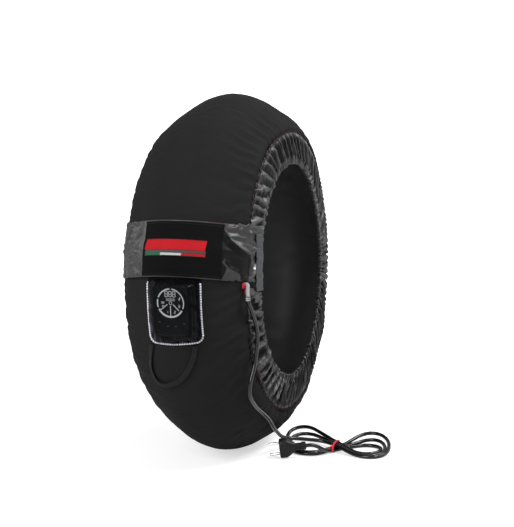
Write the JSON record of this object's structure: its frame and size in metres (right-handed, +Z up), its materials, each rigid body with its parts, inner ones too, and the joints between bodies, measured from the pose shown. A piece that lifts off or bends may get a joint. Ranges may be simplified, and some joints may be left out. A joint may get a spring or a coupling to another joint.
{
  "type": "motorcycle tire warmer",
  "caption": "Black electric motorcycle tire warmer, closed to the shape of a rear tire, with gathered side skirts, a closing flap, a dial controller and a tied mains cord.",
  "frame": {"origin": "on the floor straight under the wheel axle, at the middle of the flat spot that the cover stands on", "axes": "+Y along the wheel axle towards the side that the mains cord leaves, +X towards the controller and the closing flap, +Z up"},
  "size_m": [0.6899, 0.4043, 0.6653],
  "materials": {
    "shell_cloth": "matt woven polyester",
    "skirt_nylon": "coated nylon, half shiny",
    "twill_tape": "woven tape",
    "lining_cloth": "heat resistant cloth",
    "felt": "needle felt",
    "glass_cloth": "woven glass cloth",
    "heating_wire": "resistance wire",
    "elastic": "knitted cover",
    "patch_red": "woven badge cloth",
    "hook_loop": "hook and loop",
    "snap_metal": "nickel plated",
    "tag_red": "woven tape",
    "pocket_vinyl": "glossy coated cloth",
    "piping_white": "reflective piping",
    "housing_plastic": "black",
    "gasket_rubber": "black",
    "screw_steel": "zinc plated",
    "board_green": "solder mask",
    "display_grey": "grey",
    "component_black": "moulded",
    "dial_grey": "printed film",
    "cord_black": "smooth cable sheath",
    "sleeve_white": "soft moulding",
    "webbing_black": "woven webbing",
    "tie_red": "plastic on wire",
    "plug_black": "moulded",
    "pin_brass": "nickel on brass"
  },
  "bodies": {
    "root": {"outer_shell_1": "shell_cloth", "outer_shell_2": "shell_cloth", "outer_shell_3": "shell_cloth", "outer_shell_4": "shell_cloth", "outer_shell_5": "shell_cloth", "outer_shell_6": "shell_cloth", "outer_shell_7": "shell_cloth", "outer_shell_8": "shell_cloth", "insulation_felt": "felt", "heating_carrier": "glass_cloth", "inner_lining": "lining_cloth", "heating_wire": "heating_wire", "skirt_right": "skirt_nylon", "skirt_left": "skirt_nylon", "hem_elastic_right": "elastic", "hem_elastic_left": "elastic", "closure_flap": "skirt_nylon", "flap_panel": "shell_cloth", "woven_patch": "patch_red", "loop_tape": "hook_loop", "hook_tape": "hook_loop", "closing_tape_right": "twill_tape", "skirt_tab_right": "twill_tape", "closing_tape_left": "twill_tape", "skirt_tab_left": "twill_tape", "snap_cap": "snap_metal", "snap_socket": "snap_metal", "fabric_tag": "tag_red", "pocket_back": "pocket_vinyl", "reflective_piping": "piping_white", "controller_base": "housing_plastic", "controller_cover": "housing_plastic", "controller_gasket": "gasket_rubber", "controller_screw_1": "screw_steel", "controller_screw_2": "screw_steel", "controller_screw_3": "screw_steel", "controller_screw_4": "screw_steel", "circuit_board": "board_green", "display_module": "display_grey", "relay": "component_black", "power_module": "component_black", "dial_plate": "dial_grey", "pocket_front": "pocket_vinyl", "supply_lead": "cord_black", "temperature_probe": "screw_steel", "thermal_fuse": "component_black", "pull_loop": "webbing_black", "cord_strain_relief": "sleeve_white", "mains_cord_drop": "cord_black", "mains_cord_hank": "cord_black", "cord_tie": "tie_red", "plug_body": "plug_black", "plug_neck": "plug_black", "plug_pin_1": "pin_brass", "plug_pin_2": "pin_brass"}
  },
  "joints": []
}
